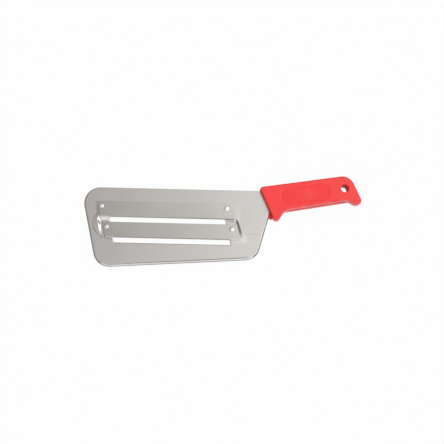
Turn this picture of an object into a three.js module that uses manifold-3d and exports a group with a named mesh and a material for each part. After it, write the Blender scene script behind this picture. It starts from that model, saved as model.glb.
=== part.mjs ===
// Cabbage shredder: a pressed steel blade with two riveted cutting strips and a moulded handle in two halves
//
// Millimetres, +Z up. The tool lies on its back. +X runs along the cutting strips from the tip to the
// handle, +Y points to the spine and +Z out of the cutting side. While the pieces are made, the spine is at
// y = 0, the sharp tip corner at x = 0 and the middle of the sheet at z = 0. The finished group is then
// moved so that its origin is at the bottom centre of its box.

import * as THREE from 'three';
import { mergeVertices } from 'three/addons/utils/BufferGeometryUtils.js';
import Module from 'manifold-3d';

const wasm = await Module();
wasm.setup();

// Cutting strips and the slots below them
const stripLength = 151.3;
const stripWidth = 18.1;
const stripThickness = 0.9;
const stripBevel = 1.3;
const stripUnderBevel = 2;
const stripEdgeHeight = 0.55;
const stripEdgeLand = 0.1;
const lowerStripStagger = 0.8;
const slotGap = 5.2;
const slotInset = 10.4;
const slotCornerRadius = 0.8;
const stripOverhang = 1.5;

// Blade plate, with its margins round the strips. Angles are in degrees.
const sheetThickness = 1.2;
const spineMargin = 15.9;
const tipMargin = 15.2;
const heelMargin = 55.1;
const groundMargin = 15.7;
const tipSlant = 13.5;
const heelSlant = 15.3;
const groundRise = 4.1;
const tipSpineRadius = 18;
const tipGroundRadius = 18.5;
const heelGroundRadius = 17;
const groundBevel = 3;
const groundEdgeLand = 0.2;

// Pressed form of the plate
const upperSeatTilt = 1;
const lowerSeatTilt = 6;
const pocketDepth = 1.4;
const bendSetback = 0.4;
const pocketLedge = 1.7;
const pocketMargin = 0.9;
const pocketWallRun = 1.8;
const raisedRun = 5.6;
const tipRunOut = 11;
const tipRunOutDrop = 3;
const tipFootShare = 0.6;
const heelPanelHeight = 0.35;
const heelPanelDrop = 10.3;
const heelPanelReach = 24;
const heelPanelFlat = 8;
const heelPanelEdge = 3;
const heelPanelMargin = 1.5;

// Rivets
const rivetRow = 5.5;
const tipRivetInset = 4.1;
const heelRivetInset = 6;
const rivetShankRadius = 1.5;
const rivetHeadRadius = 2.9;
const rivetHeadHeight = 1.3;
const rivetRimHeight = 0.4;
const setHeadRadius = 2.6;
const setHeadHeight = 0.8;

// Handle outline, in its own frame: u along its top edge from the sharp front corner, v upwards
const handleRise = 9;
const handleOverlap = 19.8;
const handleProud = 3.1;
const handleLength = 103.3;
const handleThickness = 17;
const frontSlant = 15.6;
const buttSlant = 15.6;
const gripFrontHeight = 30.7;
const gripButtHeight = 28.9;
const guardDepth = 40.5;
const guardTip = 4.8;
const guardFlank = 51;
const hookDepth = 34.8;
const hookTip = 9.7;
const hookFlank = 43.5;
const frontCornerRadius = 3;
const buttCornerRadius = 14.5;
const hookTipRadius = 5;
const hookHeelRadius = 6;
const hookRootRadius = 12;
const guardRootRadius = 14;
const guardTipRadius = 3.8;
const rearGuardNose = 4.4;
const rearGuardLift = 3.8;
const rearHookLift = 3;
const frontGripLift = 0.8;
const handleEdgeRun = 1.3;
const handleEdgeDrop = 1.8;
const seamChamfer = 0.8;

// Hang hole, obround recess, tang and the pegs that hold it
const hangHoleRadius = 4.3;
const hangHoleChamfer = 0.6;
const hangHoleFromButt = 8.2;
const hangHoleDrop = 14.4;
const recessFront = 22.2;
const recessHoleGap = 11.8;
const recessWidth = 19.8;
const recessDepth = 0.4;
const recessDrop = 15;
const discRadius = 5.2;
const discBelowFace = 0.1;
const tangDrop = 5;
const tangWidth = 18;
const tangHoleGap = 7;
const tangRootRadius = 8;
const spineEndRadius = 3;
const tangEndRadius = 4;
const pegRadius = 3;
const pegDepth = 5;
const pegSpacing = 40;

// Clearances: what is seated or passes through keeps fitGap, and the tang's pocket keeps tangGap to its
// faces. A cut that goes right through runs past the faces by cutPast.
const fitGap = 0.3;
const tangGap = 0.2;
const cutPast = 1;

// Facets
const arcSegments = 8;
const roundSegments = 24;
const rivetSegments = 16;
const edgeSegments = 3;
const rampSteps = 4;
const wallSteps = 3;
const seatSteps = 3;
const panelSteps = 6;
const gridMerge = 0.4;

const degrees = THREE.MathUtils.degToRad;
const tipLean = Math.tan(degrees(tipSlant));
const heelLean = Math.tan(degrees(heelSlant));
const frontLean = Math.tan(degrees(frontSlant));
const buttLean = Math.tan(degrees(buttSlant));
const spineLength = tipMargin + stripLength + heelMargin;
const reach = 4 * spineLength;

const steel = new THREE.MeshStandardMaterial({ color: 0xbab6b2, roughness: 0.38, metalness: 1 });
const stripSteel = new THREE.MeshStandardMaterial({ color: 0xa9a5a0, roughness: 0.32, metalness: 1 });
const rivetSteel = new THREE.MeshStandardMaterial({ color: 0xd6d5d0, roughness: 0.25, metalness: 1 });
const redPlastic = new THREE.MeshStandardMaterial({ color: 0xf64c4a, roughness: 0.45, metalness: 0 });

// Solids and meshes

function solid(geometry, matrix = new THREE.Matrix4()) {
  const bare = geometry.clone().applyMatrix4(matrix);
  bare.deleteAttribute('normal');
  bare.deleteAttribute('uv');
  const merged = mergeVertices(bare);
  return new wasm.Manifold(new wasm.Mesh({
    numProp: 3,
    vertProperties: new Float32Array(merged.attributes.position.array),
    triVerts: new Uint32Array(merged.index.array),
  }));
}

function pieceOf(name, body, material) {
  const { vertProperties, triVerts } = body.getMesh();
  const geometry = new THREE.BufferGeometry();
  geometry.setAttribute('position', new THREE.BufferAttribute(vertProperties, 3));
  geometry.setIndex(new THREE.BufferAttribute(triVerts, 1));
  geometry.computeVertexNormals();
  const mesh = new THREE.Mesh(geometry, material);
  mesh.name = name;
  return mesh;
}

// The arc that rounds one of an outline's corners, each given as [x, y, radius]
function cornerArc(corners, index) {
  const [x, y, radius] = corners[index];
  const corner = new THREE.Vector2(x, y);
  const last = corners.at(index - 1);
  const next = corners[(index + 1) % corners.length];
  const back = new THREE.Vector2(last[0], last[1]).sub(corner).normalize();
  const ahead = new THREE.Vector2(next[0], next[1]).sub(corner).normalize();
  const half = Math.acos(back.dot(ahead)) / 2;
  const centre = back.clone().add(ahead).setLength(radius / Math.sin(half)).add(corner);
  const start = back.multiplyScalar(radius / Math.tan(half)).add(corner).sub(centre);
  const end = ahead.multiplyScalar(radius / Math.tan(half)).add(corner).sub(centre);
  return { centre, radius, start, end };
}

function roundedOutline(corners) {
  const outline = new THREE.Shape();
  corners.forEach((corner, index) => {
    const { centre, radius, start, end } = cornerArc(corners, index);
    outline.absarc(centre.x, centre.y, radius, start.angle(), end.angle(), start.cross(end) < 0);
  });
  outline.closePath();
  return outline;
}

function prism(outline, bottom, top) {
  const options = { depth: top - bottom, bevelEnabled: false, curveSegments: arcSegments };
  return new THREE.ExtrudeGeometry(outline, options).translate(0, 0, bottom);
}

function roundBar(radius, bottom, top, segments = roundSegments) {
  const bar = new THREE.CylinderGeometry(radius, radius, top - bottom, segments);
  return bar.rotateX(Math.PI / 2).translate(0, 0, (bottom + top) / 2);
}

// A closed solid through rings of points, with flat ends. Every ring has as many points as the first.
function loft(rings) {
  const size = rings[0].length;
  const index = [];
  for (let ring = 0; ring + 1 < rings.length; ring += 1) {
    for (let side = 0; side < size; side += 1) {
      const a = ring * size + side;
      const b = ring * size + (side + 1) % size;
      index.push(a, b, b + size, a, b + size, a + size);
    }
  }
  const lastRing = (rings.length - 1) * size;
  for (let side = 1; side + 1 < size; side += 1) {
    index.push(0, side + 1, side);
    index.push(lastRing, lastRing + side, lastRing + side + 1);
  }
  const geometry = new THREE.BufferGeometry().setFromPoints(rings.flat());
  geometry.setIndex(index);
  return geometry;
}

// Layout of the blade: levels down from the spine, and the distance s from the tip edge, along the strips

const upperPlanWidth = stripWidth * Math.cos(degrees(upperSeatTilt));
const lowerPlanWidth = stripWidth * Math.cos(degrees(lowerSeatTilt));
const upperTop = -spineMargin;
const upperEdge = upperTop - upperPlanWidth;
const lowerTop = upperEdge - slotGap;
const lowerEdge = lowerTop - lowerPlanWidth;
const lowerSlotFoot = lowerEdge - slotGap;
const heelCornerY = lowerSlotFoot - groundMargin;

const tipX = (y) => -y * tipLean;
const heelX = (y) => spineLength + y * heelLean;
const groundSlope = Math.tan(degrees(groundRise));
const groundY = (x) => heelCornerY - (heelX(heelCornerY) - x) * groundSlope;
const tipCornerX = -groundY(0) * tipLean / (1 + groundSlope * tipLean);

const front = sheetThickness / 2;
const stripStart = tipMargin;
const stripEnd = tipMargin + stripLength;

// The handle's frame, turned about Z at its front top corner

const handleOrigin = new THREE.Vector3(spineLength - handleOverlap, handleProud, 0);
const handleMatrix = new THREE.Matrix4().makeRotationZ(degrees(handleRise)).setPosition(handleOrigin);
const toHandle = handleMatrix.clone().invert();
const hangHoleU = handleLength - hangHoleFromButt;
const tangEnd = hangHoleU - hangHoleRadius - tangHoleGap;
const tangMiddle = -tangDrop - tangWidth / 2;
const recessLength = hangHoleU - hangHoleRadius - recessHoleGap - recessFront;
const recessMiddle = recessFront + recessLength / 2;
const pegPlaces = [recessMiddle - pegSpacing / 2, recessMiddle + pegSpacing / 2];

function handlePoint(u, v) {
  const point = new THREE.Vector3(u, v, 0).applyMatrix4(handleMatrix);
  return [point.x, point.y];
}

// The point at height v in the handle's frame where distance, which is linear over the plate, is zero
function crossingAt(v, distance) {
  const here = distance(...handlePoint(0, v));
  const further = distance(...handlePoint(1, v));
  return handlePoint(here / (here - further), v);
}

// Corners of the plate with its tang, moved outwards by grow
function plateCorners(grow) {
  const heelShift = grow / Math.cos(degrees(heelSlant));
  const tangTop = -tangDrop + grow;
  const tangBottom = -tangDrop - tangWidth - grow;
  const spineEnd = crossingAt(tangTop, (x, y) => y - grow);
  const tangRoot = crossingAt(tangBottom, (x, y) => x - heelX(y) - heelShift);
  return [
    [-grow, grow, tipSpineRadius],
    [tipCornerX - grow, groundY(tipCornerX) - grow, tipGroundRadius],
    [heelX(heelCornerY) + heelShift, heelCornerY - grow, heelGroundRadius],
    [...tangRoot, tangRootRadius],
    [...handlePoint(tangEnd + grow, tangBottom), tangEndRadius],
    [...handlePoint(tangEnd + grow, tangTop), tangEndRadius],
    [...spineEnd, spineEndRadius],
  ];
}

// Pressed form: tilted seats under the strips. The lower seat starts in a sunk pocket, and what is raised
// runs out past the strips' ends and below the lower seat.

const { clamp, lerp, smoothstep } = THREE.MathUtils;
const upperSlope = Math.tan(degrees(upperSeatTilt));
const lowerSlope = Math.tan(degrees(lowerSeatTilt));
const upperSeatEdge = upperEdge + stripOverhang;
const lowerSeatEdge = lowerEdge + stripOverhang;
const upperBend = upperSeatEdge - bendSetback;
const lowerBend = lowerSeatEdge - bendSetback;
const pocketTop = lowerTop + pocketLedge;
const upperRise = (upperTop - upperBend) * upperSlope;
const pocketEnd = lowerTop - (pocketDepth + upperRise) / lowerSlope;
const raisedFoot = lowerBend - raisedRun;
const runOutMiddle = lowerTop - tipRunOutDrop;
const heelPanelFoot = lowerTop - heelPanelDrop;

// The plane of the lower seat, which is the floor of the pocket too
const floorAt = (y) => (lowerTop - y) * lowerSlope - pocketDepth;

// The raised lip: the upper seat, then level round the pocket, then the lower seat up to its bend
function lipAt(y) {
  if (y > upperBend) return Math.max(0, (upperTop - y) * upperSlope);
  return Math.max(upperRise, floorAt(Math.max(y, lowerBend)));
}

// How far the lip runs out past the strips' ends: furthest at the tip, beside the lower strip's rivet
function runOut(s, y) {
  if (s > stripEnd) return raisedRun;
  const span = y > runOutMiddle ? upperBend - runOutMiddle : runOutMiddle - lowerBend;
  return lerp(tipRunOut, raisedRun, Math.min(1, Math.abs(y - runOutMiddle) / span));
}

// How far the lower seat's lip runs out below its bend: less beside the tip end of the slot
function footRun(s) {
  return raisedRun * lerp(tipFootShare, 1, clamp((s - stripStart) / slotInset, 0, 1));
}

// The shallow stiffening panel between the strips and the heel edge, which fades out towards the spine
function heelPanel(s, y) {
  const inFromHeel = heelX(y) - tipX(y) - s;
  const start = stripEnd + pocketMargin;
  const left = smoothstep(s, start, start + heelPanelEdge);
  const right = smoothstep(inFromHeel, heelPanelMargin, heelPanelMargin + heelPanelEdge);
  const bottom = smoothstep(y, heelPanelFoot - heelPanelEdge / 2, heelPanelFoot + heelPanelEdge / 2);
  const top = 1 - smoothstep(y, heelPanelFoot + heelPanelFlat, heelPanelFoot + heelPanelReach);
  return heelPanelHeight * left * right * bottom * top;
}

function pressedHeight(s, y) {
  const beyond = Math.max(0, stripStart - s - pocketMargin, s - stripEnd - pocketMargin);
  const fade = Math.hypot(beyond / runOut(s, y), Math.max(0, lowerBend - y) / footRun(s));
  const wall = Math.hypot(beyond / pocketWallRun, Math.max(0, y - pocketTop) / (upperBend - pocketTop));
  const lip = lipAt(y);
  const sunk = Math.max(0, lip - floorAt(Math.min(y, pocketTop))) * (1 - smoothstep(wall, 0, 1));
  return Math.max(lip * Math.max(0, 1 - fade), heelPanel(s, y)) - sunk;
}

// Grid lines through spans given as [from, to, steps], in rising order with no two alike
function gridLines(spans) {
  const lines = spans.flatMap(([from, to, steps]) => (
    Array.from({ length: steps + 1 }, (_, step) => lerp(from, to, step / steps))
  ));
  lines.sort((a, b) => a - b);
  return lines.filter((line, index) => index === 0 || line - lines[index - 1] > gridMerge);
}

// The pressed sheet before it is blanked: a slab larger than the plate, on a grid that leans as the tip does
function pressedSheet() {
  const low = stripStart - pocketMargin;
  const high = stripEnd + pocketMargin;
  const along = gridLines([
    [-reach, reach, 1],
    [low - tipRunOut, low, rampSteps],
    [low - pocketWallRun, low, wallSteps],
    [stripStart, stripStart + slotInset, seatSteps],
    [high, high + raisedRun, rampSteps],
    [high, high + pocketWallRun, wallSteps],
    [high + raisedRun, heelX(heelPanelFoot + heelPanelReach), panelSteps],
  ]);
  const across = gridLines([
    [-reach, reach, 1],
    [upperBend, upperTop, seatSteps],
    [pocketTop, upperBend, wallSteps],
    [pocketEnd, pocketTop, seatSteps],
    [lowerBend, pocketEnd, seatSteps],
    [raisedFoot, lowerBend, wallSteps],
    [heelPanelFoot - heelPanelEdge / 2, heelPanelFoot + heelPanelEdge / 2, wallSteps],
    [heelPanelFoot + heelPanelFlat, heelPanelFoot + heelPanelReach, seatSteps],
  ]);
  const points = [];
  for (const side of [front, -front]) {
    for (const y of across) {
      for (const s of along) points.push(new THREE.Vector3(s + tipX(y), y, pressedHeight(s, y) + side));
    }
  }
  const columns = along.length;
  const layer = columns * across.length;
  const index = [];
  const quad = (a, b, c, d) => index.push(a, b, c, a, c, d);
  for (let row = 0; row + 1 < across.length; row += 1) {
    for (let column = 0; column + 1 < columns; column += 1) {
      const a = row * columns + column;
      quad(a, a + 1, a + columns + 1, a + columns);
      quad(layer + a, layer + a + columns, layer + a + columns + 1, layer + a + 1);
    }
    const left = row * columns;
    const right = left + columns - 1;
    quad(left, left + columns, layer + left + columns, layer + left);
    quad(right, layer + right, layer + right + columns, right + columns);
  }
  for (let column = 0; column + 1 < columns; column += 1) {
    const far = layer - columns + column;
    quad(column, layer + column, layer + column + 1, column + 1);
    quad(far, far + 1, layer + far + 1, layer + far);
  }
  const geometry = new THREE.BufferGeometry().setFromPoints(points);
  geometry.setIndex(index);
  return geometry;
}

// A slot with ends that lean like the tip edge
function slotOutline(top, foot) {
  const from = stripStart + slotInset;
  const to = stripEnd - slotInset;
  return roundedOutline([
    [from + tipX(top), top, slotCornerRadius],
    [from + tipX(foot), foot, slotCornerRadius],
    [to + tipX(foot), foot, slotCornerRadius],
    [to + tipX(top), top, slotCornerRadius],
  ]);
}

// What the grindstone takes off: a slope along the lower edge that runs out round both of its corners. Its
// rings stand at half steps of the corners' arcs, so that none passes through a corner of the facets.
function grindingSolid() {
  const corners = plateCorners(0);
  const slope = (sheetThickness - groundEdgeLand) / groundBevel;
  const margin = groundBevel / 2;
  const rings = [];
  const ringAt = (centre, radius, angle, width) => {
    const outwards = new THREE.Vector3(Math.cos(angle), Math.sin(angle), 0);
    const place = (distance, z) => outwards.clone().multiplyScalar(distance).add(
      new THREE.Vector3(centre.x, centre.y, z),
    );
    const outside = radius + margin;
    const inside = radius - width - margin;
    rings.push([
      place(outside, front - (width + margin) * slope),
      place(inside, front + margin * slope),
      place(inside, front + sheetThickness),
      place(outside, front + sheetThickness),
    ]);
  };
  const [tipCorner, heelCorner] = [1, 2].map((index) => cornerArc(corners, index));
  for (const { centre, radius, start, end } of [tipCorner, heelCorner]) {
    const from = start.angle();
    const turn = (end.angle() - from + 2 * Math.PI) % (2 * Math.PI);
    const isTip = centre === tipCorner.centre;
    for (let step = isTip ? -1 : 0; step < arcSegments + (isTip ? 0 : 1); step += 1) {
      const part = (step + 0.5) / arcSegments;
      const fullness = smoothstep(isTip ? part : 1 - part, 0, 1);
      ringAt(centre, radius, from + turn * part, groundBevel * fullness);
    }
  }
  return loft(rings);
}

// Seats of the strips: a frame on the pressed sheet, with its z = 0 on the sheet's front

function seatMatrix({ top, sink, tilt }) {
  return new THREE.Matrix4().makeRotationX(-degrees(tilt)).setPosition(0, top, front - sink);
}

const upperSeat = { top: upperTop, sink: 0, tilt: upperSeatTilt, start: stripStart };
const lowerSeat = {
  top: lowerTop,
  sink: pocketDepth,
  tilt: lowerSeatTilt,
  start: stripStart + lowerStripStagger,
};

// Rivet centres in the seat's frame, at the tip end and at the heel end
function rivetPlaces({ top, tilt, start }) {
  const rowX = tipX(top - rivetRow * Math.cos(degrees(tilt)));
  return [start + tipRivetInset, start + stripLength - heelRivetInset].map((s) => (
    new THREE.Vector3(s + rowX, -rivetRow, 0)
  ));
}

function rivetHoles(seat, bottom, top) {
  const hole = roundBar(rivetShankRadius + fitGap, bottom, top, rivetSegments);
  return rivetPlaces(seat).map((place) => hole.clone().translate(place.x, place.y, place.z));
}

// Pieces

function bladePlate() {
  const outline = roundedOutline(plateCorners(0));
  outline.holes.push(slotOutline(upperSeatEdge, lowerTop), slotOutline(lowerSeatEdge, lowerSlotFoot));
  const tall = pocketDepth + stripWidth;
  let plate = solid(pressedSheet()).intersect(solid(prism(outline, -tall, tall)));
  plate = plate.subtract(solid(grindingSolid()));
  for (const seat of [upperSeat, lowerSeat]) {
    for (const hole of rivetHoles(seat, -tall, tall)) plate = plate.subtract(solid(hole, seatMatrix(seat)));
  }
  for (const u of pegPlaces) {
    const hole = roundBar(pegRadius + fitGap, -tall, tall).translate(u, tangMiddle, 0);
    plate = plate.subtract(solid(hole, handleMatrix));
  }
  return pieceOf('blade_plate', plate, steel);
}

// A flat bar with its lower edge ground from both faces, and ends that lean like the tip edge
function cuttingStrip(name, seat) {
  const section = new THREE.Shape([
    new THREE.Vector2(0, 0),
    new THREE.Vector2(0, stripThickness),
    new THREE.Vector2(stripBevel - stripWidth, stripThickness),
    new THREE.Vector2(-stripWidth, stripEdgeHeight),
    new THREE.Vector2(-stripWidth, stripEdgeHeight - stripEdgeLand),
    new THREE.Vector2(stripUnderBevel - stripWidth, 0),
  ]);
  const bar = new THREE.ExtrudeGeometry(section, { depth: stripLength, bevelEnabled: false });
  const lieAlongX = new THREE.Matrix4().makeBasis(
    new THREE.Vector3(0, 1, 0),
    new THREE.Vector3(0, 0, 1),
    new THREE.Vector3(1, 0, 0),
  );
  const lean = new THREE.Matrix4().makeShear(0, 0, -tipLean * Math.cos(degrees(seat.tilt)), 0, 0, 0);
  bar.applyMatrix4(lieAlongX).applyMatrix4(lean).translate(seat.start + tipX(seat.top), 0, fitGap);
  let strip = solid(bar);
  for (const hole of rivetHoles(seat, -stripWidth, stripWidth)) strip = strip.subtract(solid(hole));
  return pieceOf(name, strip, stripSteel);
}

function rivet(name, seat, place) {
  const headFoot = stripThickness + 2 * fitGap;
  const setHeadTop = -sheetThickness * Math.cos(degrees(seat.tilt)) - fitGap;
  const domeFoot = headFoot + rivetRimHeight;
  const domeHeight = rivetHeadHeight - rivetRimHeight;
  const dome = Array.from({ length: edgeSegments + 1 }, (_, step) => {
    const angle = (step / edgeSegments) * (Math.PI / 2);
    return new THREE.Vector2(rivetHeadRadius * Math.cos(angle), domeFoot + domeHeight * Math.sin(angle));
  });
  const profile = [
    new THREE.Vector2(0, setHeadTop - setHeadHeight),
    new THREE.Vector2(setHeadRadius - setHeadHeight / 2, setHeadTop - setHeadHeight),
    new THREE.Vector2(setHeadRadius, setHeadTop - setHeadHeight / 2),
    new THREE.Vector2(setHeadRadius, setHeadTop),
    new THREE.Vector2(rivetShankRadius, setHeadTop),
    new THREE.Vector2(rivetShankRadius, headFoot),
    new THREE.Vector2(rivetHeadRadius, headFoot),
    ...dome,
  ];
  const turned = new THREE.LatheGeometry(profile, rivetSegments).rotateX(Math.PI / 2);
  turned.translate(place.x, place.y, place.z);
  return pieceOf(name, solid(turned), rivetSteel);
}

// A strip and its rivets, in a group that lies on the strip's seat
function stripGroup(side, seat) {
  const group = new THREE.Group();
  group.position.set(0, seat.top, front - seat.sink);
  group.rotation.x = -degrees(seat.tilt);
  const [tipPlace, heelPlace] = rivetPlaces(seat);
  group.add(
    cuttingStrip(`${side}_cutting_strip`, seat),
    rivet(`${side}_tip_rivet`, seat, tipPlace),
    rivet(`${side}_heel_rivet`, seat, heelPlace),
  );
  return group;
}

// Radii at the foot and the root of a guard's or hook's flank. The rounded edge limits the foot's fillet, and
// the length of the flank that both share limits the root's.
function flankRadii(foot, root, height, angle) {
  const footRadius = Math.max(foot, handleEdgeRun + fitGap);
  const flank = height / Math.sin(degrees(angle)) - fitGap;
  return [footRadius, Math.min(root, flank / Math.tan(degrees(angle) / 2) - footRadius)];
}

// Corners of the handle in its own frame. The rear half's hook and guard are shorter, with radii to suit, and
// its guard reaches further forward. The front half's grip is less deep, so the seam has a ledge.
function handleCorners(isRear) {
  const hook = hookDepth - (isRear ? rearHookLift : 0);
  const guard = guardDepth - (isRear ? rearGuardLift : 0);
  const nose = isRear ? rearGuardNose : 0;
  const gripFront = gripFrontHeight - (isRear ? 0 : frontGripLift);
  const gripButt = gripButtHeight - (isRear ? 0 : frontGripLift);
  const hookSize = (hook - gripButtHeight) / (hookDepth - gripButtHeight);
  const guardSize = (guard - gripFrontHeight) / (guardDepth - gripFrontHeight);
  const [heelRadius, hookRadius] =
    flankRadii(hookHeelRadius * hookSize, hookRootRadius * hookSize, hook - gripButt, hookFlank);
  const [tipRadius, guardRadius] =
    flankRadii(guardTipRadius * guardSize, guardRootRadius * guardSize, guard - gripFront, guardFlank);
  const hookFront = handleLength + hook * buttLean - hookTip;
  const hookRoot = hookFront - (hook - gripButt) / Math.tan(degrees(hookFlank));
  const guardBack = guard * frontLean + guardTip;
  const guardRoot = guardBack + (guard - gripFront) / Math.tan(degrees(guardFlank));
  return [
    [0, 0, frontCornerRadius],
    [guard * frontLean - nose, -guard, tipRadius],
    [guardBack, -guard, tipRadius],
    [guardRoot, -gripFront, guardRadius],
    [hookRoot, -gripButt, hookRadius],
    [hookFront, -hook, heelRadius],
    [handleLength + hook * buttLean, -hook, hookTipRadius],
    [handleLength, 0, buttCornerRadius],
  ];
}

// One half of the handle before its cuts: rounded along the outer face and chamfered along the seam.
// face is 1 for the front half, which lies above the seam, and -1 for the rear half.
function halfBlank(outline, face) {
  const half = handleThickness / 2;
  const rounded = new THREE.ExtrudeGeometry(outline, {
    depth: half,
    bevelThickness: handleEdgeDrop,
    bevelSize: handleEdgeRun,
    bevelOffset: -handleEdgeRun,
    bevelSegments: edgeSegments,
    curveSegments: arcSegments,
  });
  const chamfered = new THREE.ExtrudeGeometry(outline, {
    depth: handleThickness,
    bevelThickness: seamChamfer,
    bevelSize: seamChamfer,
    bevelOffset: -seamChamfer,
    bevelSegments: 1,
    curveSegments: arcSegments,
  });
  rounded.translate(0, 0, face > 0 ? -handleEdgeDrop : handleEdgeDrop - half);
  chamfered.translate(0, 0, face > 0 ? seamChamfer : -seamChamfer - handleThickness);
  return solid(rounded).intersect(solid(chamfered));
}

function hangHole() {
  const half = handleThickness / 2;
  const wide = hangHoleRadius + hangHoleChamfer + cutPast;
  const profile = [
    new THREE.Vector2(0, -half - cutPast),
    new THREE.Vector2(wide, -half - cutPast),
    new THREE.Vector2(hangHoleRadius, hangHoleChamfer - half),
    new THREE.Vector2(hangHoleRadius, half - hangHoleChamfer),
    new THREE.Vector2(wide, half + cutPast),
    new THREE.Vector2(0, half + cutPast),
  ];
  const bore = new THREE.LatheGeometry(profile, roundSegments).rotateX(Math.PI / 2);
  return bore.translate(hangHoleU, -hangHoleDrop, 0);
}

// The shallow recess in a handle's face, an obround along the grip
function recessPrism(bottom, top) {
  const end = recessWidth / 2;
  const outline = new THREE.Shape();
  outline.absarc(recessMiddle - recessLength / 2 + end, -recessDrop, end, Math.PI / 2, Math.PI * 1.5);
  outline.absarc(recessMiddle + recessLength / 2 - end, -recessDrop, end, -Math.PI / 2, Math.PI / 2);
  outline.closePath();
  return prism(outline, bottom, top);
}

function tangPocket() {
  const depth = front + tangGap;
  return solid(prism(roundedOutline(plateCorners(fitGap)), -depth, depth), toHandle);
}

function handleFrontHalf() {
  const face = handleThickness / 2;
  const disc = roundBar(discRadius, 0, face - discBelowFace).translate(recessMiddle, -recessDrop, 0);
  let half = halfBlank(roundedOutline(handleCorners(false)), 1).subtract(tangPocket());
  half = half.subtract(solid(hangHole()));
  half = half.subtract(solid(recessPrism(face - recessDepth, handleThickness)).subtract(solid(disc)));
  const pegRoot = face / 2;
  for (const u of pegPlaces) {
    half = half.add(solid(roundBar(pegRadius, -pegDepth, pegRoot).translate(u, tangMiddle, 0)));
  }
  return pieceOf('handle_front_half', half, redPlastic);
}

function handleRearHalf() {
  const face = -handleThickness / 2;
  let half = halfBlank(roundedOutline(handleCorners(true)), -1).subtract(tangPocket());
  half = half.subtract(solid(hangHole()));
  half = half.subtract(solid(recessPrism(-handleThickness, face + recessDepth)));
  for (const u of pegPlaces) {
    const socket = roundBar(pegRadius + fitGap, -pegDepth - fitGap, handleThickness);
    half = half.subtract(solid(socket.translate(u, tangMiddle, 0)));
  }
  return pieceOf('handle_rear_half', half, redPlastic);
}

// Assembly

const handle = new THREE.Group();
handle.position.copy(handleOrigin);
handle.rotation.z = degrees(handleRise);
handle.add(handleFrontHalf(), handleRearHalf());

const shredder = new THREE.Group();
shredder.add(bladePlate(), stripGroup('upper', upperSeat), stripGroup('lower', lowerSeat), handle);

const box = new THREE.Box3().setFromObject(shredder, true);
const middle = box.getCenter(new THREE.Vector3());
shredder.position.set(-middle.x, -middle.y, -box.min.z);

export default shredder;
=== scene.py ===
# %% [markdown]
# # A cabbage shredder
# The tool is a pressed steel plate with two sharpened strips riveted across it, and a red handle moulded in
# two halves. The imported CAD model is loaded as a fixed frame. Each piece is then made again with the soft
# bends, rounded rims and finishes that the real one has, in the place where its CAD node lies.

# %% The frame and its box
import math

import bmesh
import bpy
import numpy as np
from mathutils import Matrix, Vector
from mathutils.geometry import delaunay_2d_cdt


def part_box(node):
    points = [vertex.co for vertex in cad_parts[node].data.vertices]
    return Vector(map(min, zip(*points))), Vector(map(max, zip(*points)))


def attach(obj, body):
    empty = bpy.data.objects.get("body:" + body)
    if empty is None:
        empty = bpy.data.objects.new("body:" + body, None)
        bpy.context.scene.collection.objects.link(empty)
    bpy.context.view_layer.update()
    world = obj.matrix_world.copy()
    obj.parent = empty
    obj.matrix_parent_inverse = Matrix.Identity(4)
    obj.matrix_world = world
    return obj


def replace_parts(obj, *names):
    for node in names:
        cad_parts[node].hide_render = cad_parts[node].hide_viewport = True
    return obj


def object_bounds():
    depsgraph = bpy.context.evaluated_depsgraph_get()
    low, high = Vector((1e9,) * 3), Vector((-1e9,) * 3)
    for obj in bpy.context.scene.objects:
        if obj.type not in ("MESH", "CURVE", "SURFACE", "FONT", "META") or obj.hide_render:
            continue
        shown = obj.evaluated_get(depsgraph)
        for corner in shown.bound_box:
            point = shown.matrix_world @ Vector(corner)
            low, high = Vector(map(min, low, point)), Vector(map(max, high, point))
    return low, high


METRE = 1000

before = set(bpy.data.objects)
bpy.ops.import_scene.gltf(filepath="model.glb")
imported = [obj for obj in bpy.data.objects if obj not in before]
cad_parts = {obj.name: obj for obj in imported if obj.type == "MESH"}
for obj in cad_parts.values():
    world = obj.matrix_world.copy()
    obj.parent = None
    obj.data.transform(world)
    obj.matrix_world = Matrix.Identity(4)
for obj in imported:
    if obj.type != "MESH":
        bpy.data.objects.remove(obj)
cad_low, cad_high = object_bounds()
print("CAD box in mm:", [round(METRE * side, 1) for side in cad_high - cad_low])

# %% [markdown]
# ## Where everything lies
# Sizes are in millimetres, from the sharp tip corner along the spine, with the middle of the sheet at height
# zero, so every number can be read. One matrix, LAY, turns millimetres to metres and lays the result in the
# CAD frame. It is found from the upper strip's box, because that strip's place on the plate is known.

# %% Sizes of the blade and the making frame
TIP_SLANT, HEEL_SLANT, GROUND_RISE = math.radians(13.5), math.radians(15.3), math.radians(4.1)
UPPER_TILT, LOWER_TILT = math.radians(1.0), math.radians(6.0)
STRIP_LENGTH, STRIP_WIDTH, STRIP_THICKNESS = 151.3, 18.1, 0.9
SPINE_MARGIN, TIP_MARGIN, HEEL_MARGIN, GROUND_MARGIN = 15.9, 15.2, 55.1, 15.7
SLOT_GAP, SLOT_INSET, STRIP_OVERHANG = 5.2, 10.4, 1.5
SHEET, FIT_GAP = 1.2, 0.3

strip_low, strip_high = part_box("upper_cutting_strip")
strip_lift = (FIT_GAP + STRIP_THICKNESS) * math.sin(UPPER_TILT)
tip_x = METRE * strip_low.x - TIP_MARGIN - SPINE_MARGIN * math.tan(TIP_SLANT)
spine_y = METRE * strip_high.y - strip_lift + SPINE_MARGIN
sheet_z = METRE * (cad_low.z + cad_high.z) / 2
LAY = Matrix.Scale(1 / METRE, 4) @ Matrix.Translation((tip_x, spine_y, sheet_z))

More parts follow.
